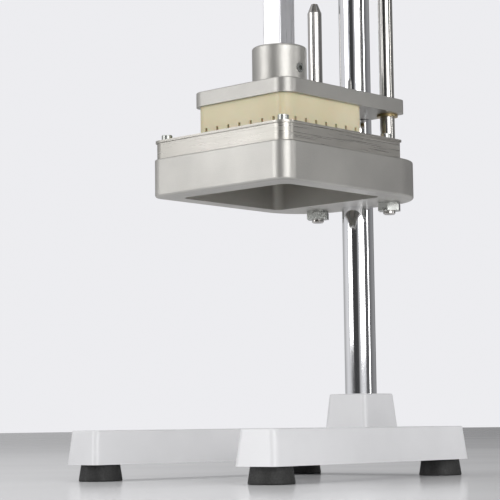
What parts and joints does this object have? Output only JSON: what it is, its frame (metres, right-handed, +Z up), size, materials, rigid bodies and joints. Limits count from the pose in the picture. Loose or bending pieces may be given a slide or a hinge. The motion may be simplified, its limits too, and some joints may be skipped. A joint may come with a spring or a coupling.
{
  "type": "vertical vegetable dicer",
  "caption": "Lever-operated bench dicer: a nylon pusher on a square ram presses food through a fixed blade grid above an open splayed-leg base.",
  "frame": {"origin": "on the table plane, under the centre of the whole outline with the lever in its pressed rest position", "axes": "+Z up, -Y toward the open front where the handle and the food container are, +X to the machine's right when seen from behind"},
  "size_m": [0.2174, 0.4106, 0.579],
  "materials": {
    "base_paint": "satin",
    "foot_rubber": "matte",
    "column_chrome": "polished",
    "head_cast_aluminium": "satin",
    "brushed_frame_metal": "brushed",
    "blade_steel": "polished",
    "rod_steel": "polished",
    "fastener_steel": "satin",
    "ram_aluminium": "satin",
    "pusher_nylon": "satin",
    "bush_bronze": "satin",
    "black_plastic": "satin",
    "grip_rubber": "matte",
    "lever_paint": "satin",
    "handle_chrome": "polished"
  },
  "bodies": {
    "frame": {"base_casting": "base_paint", "blade_cover_plate": "brushed_frame_metal", "blade_frame": "brushed_frame_metal", "blades_crosswise": "blade_steel", "blades_lengthwise": "blade_steel", "column": "column_chrome", "column_bolt": "fastener_steel", "column_grub_screw": "fastener_steel", "column_top_cap": "black_plastic", "cover_plate_screws": "fastener_steel", "crosshead": "head_cast_aluminium", "crosshead_grub_screws": "fastener_steel", "cutting_head": "head_cast_aluminium", "foot_left_front": "foot_rubber", "foot_left_rear": "foot_rubber", "foot_right_front": "foot_rubber", "foot_right_rear": "foot_rubber", "foot_screws": "fastener_steel", "fulcrum_bush": "bush_bronze", "fulcrum_clips": "fastener_steel", "fulcrum_pin": "rod_steel", "guide_rod_left": "rod_steel", "guide_rod_right": "rod_steel", "head_clamp_cap": "head_cast_aluminium", "head_clamp_screws": "fastener_steel", "ram_liner_lower": "pusher_nylon", "ram_liner_upper": "pusher_nylon", "rod_nuts": "fastener_steel", "rod_washers": "fastener_steel"},
    "ram": {"ram_bar": "ram_aluminium", "pusher_plate": "head_cast_aluminium", "pusher_block": "pusher_nylon", "pusher_block_screws": "fastener_steel", "guide_bush_left": "bush_bronze", "guide_bush_right": "bush_bronze", "ram_set_screw": "fastener_steel", "ram_cross_pin": "rod_steel", "cross_pin_washers": "fastener_steel", "cross_pin_clips": "fastener_steel"},
    "lever": {"fork_plate_left": "lever_paint", "fork_plate_right": "lever_paint", "handle_bar": "handle_chrome", "lever_bolts": "fastener_steel", "lever_nuts": "fastener_steel", "handle_grip": "grip_rubber", "handle_end_plug": "black_plastic"}
  },
  "joints": [
    {"name": "lever_hinge", "type": "hinge", "parent": "frame", "child": "lever", "pos_m": [0, 0.18674, 0.564], "axis": [-1, 0, 0], "range_deg": [0, 49.6]},
    {"name": "ram_slide", "type": "slide", "parent": "frame", "child": "ram", "axis": [0, 0, 1], "range_m": [0, 0.1]}
  ],
  "couplings": [
    {"joint": "ram_slide", "follows": "lever_hinge", "m_per_rad": 0.11552}
  ]
}
